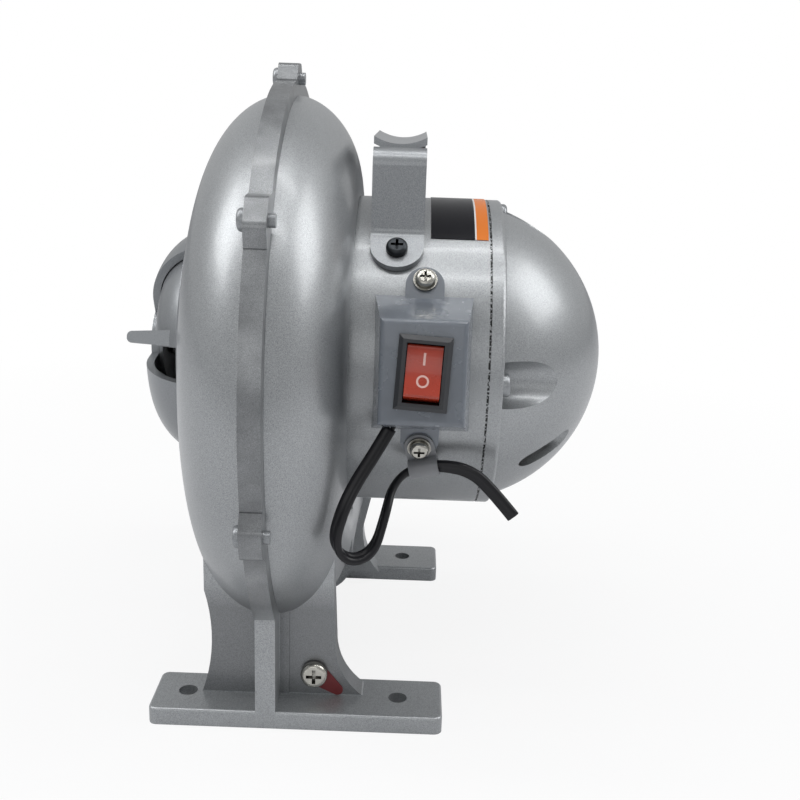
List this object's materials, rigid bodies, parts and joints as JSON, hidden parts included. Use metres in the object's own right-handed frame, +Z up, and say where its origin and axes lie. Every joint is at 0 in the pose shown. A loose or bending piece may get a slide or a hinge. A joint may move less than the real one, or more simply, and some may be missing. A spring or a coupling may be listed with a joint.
{
  "type": "centrifugal blower fan",
  "caption": "Small cast centrifugal blower: volute casing on two foot bars, round motor with a domed end, strap handle, switch box with a rocker, and a side outlet neck.",
  "frame": {"origin": "centre of the four foot holes, on the floor under the feet", "axes": "+X along the shaft from the air inlet to the motor's domed end, +Y out of the outlet neck, +Z up"},
  "size_m": [0.154, 0.1886, 0.2021],
  "materials": {
    "casing_paint": "hammered silver-grey paint on cast aluminium",
    "strap_paint": "hammered silver-grey paint on steel strip",
    "cover_paint": "hammered silver-grey paint on cast aluminium",
    "shutter_metal": "satin sheet",
    "zinc_screw": "bright zinc plate",
    "dull_steel": "turned or ground steel",
    "wheel_metal": "plain sheet",
    "core_steel": "stacked laminations",
    "copper": "enamelled copper wire",
    "cooler_plastic": "moulded",
    "box_plastic": "frosted translucent",
    "bezel_plastic": "fine satin",
    "rocker_plastic": "translucent red",
    "brass": "plain",
    "cord_jacket": "satin",
    "clip_nylon": "translucent nylon",
    "tag_red": "printed card",
    "label_film": "two-tone film"
  },
  "bodies": {
    "frame": {"scroll_front_half": "casing_paint", "motor_body": "casing_paint", "casing_screws": "zinc_screw", "inlet_cover": "cover_paint", "inlet_cover_screws": "zinc_screw", "shutter_rivet": "dull_steel", "bearing_outer_rings": "dull_steel", "stator_core": "core_steel", "stator_windings": "copper", "end_bell": "casing_paint", "end_bell_screws": "zinc_screw", "handle_strap": "strap_paint", "handle_screws": "dull_steel", "switch_box": "box_plastic", "box_screws": "zinc_screw", "box_washers": "zinc_screw", "switch_body": "bezel_plastic", "switch_terminals": "brass", "power_cord": "cord_jacket", "cord_clip": "clip_nylon", "cord_cores": "copper", "earth_tag": "tag_red", "earth_screw": "zinc_screw", "rating_label": "label_film"},
    "rotor": {"motor_shaft": "dull_steel", "impeller_backplate": "wheel_metal", "impeller_blades": "wheel_metal", "impeller_shroud": "wheel_metal", "impeller_washer": "zinc_screw", "impeller_nut": "zinc_screw", "rotor_core": "core_steel", "bearing_inner_rings": "dull_steel", "bearing_balls": "dull_steel", "cooling_fan": "cooler_plastic"},
    "shutter": {"air_shutter": "shutter_metal"},
    "rocker": {"switch_rocker": "rocker_plastic"}
  },
  "joints": [
    {"name": "rotor_spin", "type": "hinge", "parent": "frame", "child": "rotor", "pos_m": [0, 0, 0.109], "axis": [1, 0, 0], "continuous": true},
    {"name": "shutter_turn", "type": "hinge", "parent": "frame", "child": "shutter", "pos_m": [-0.05, 0, 0.109], "axis": [1, 0, 0], "range_deg": [-42, 15]},
    {"name": "rocker_tilt", "type": "hinge", "parent": "frame", "child": "rocker", "pos_m": [0.0378, -0.07141, 0.11967], "axis": [0.9983, -0.0085, -0.0569], "range_deg": [0, 21]}
  ]
}
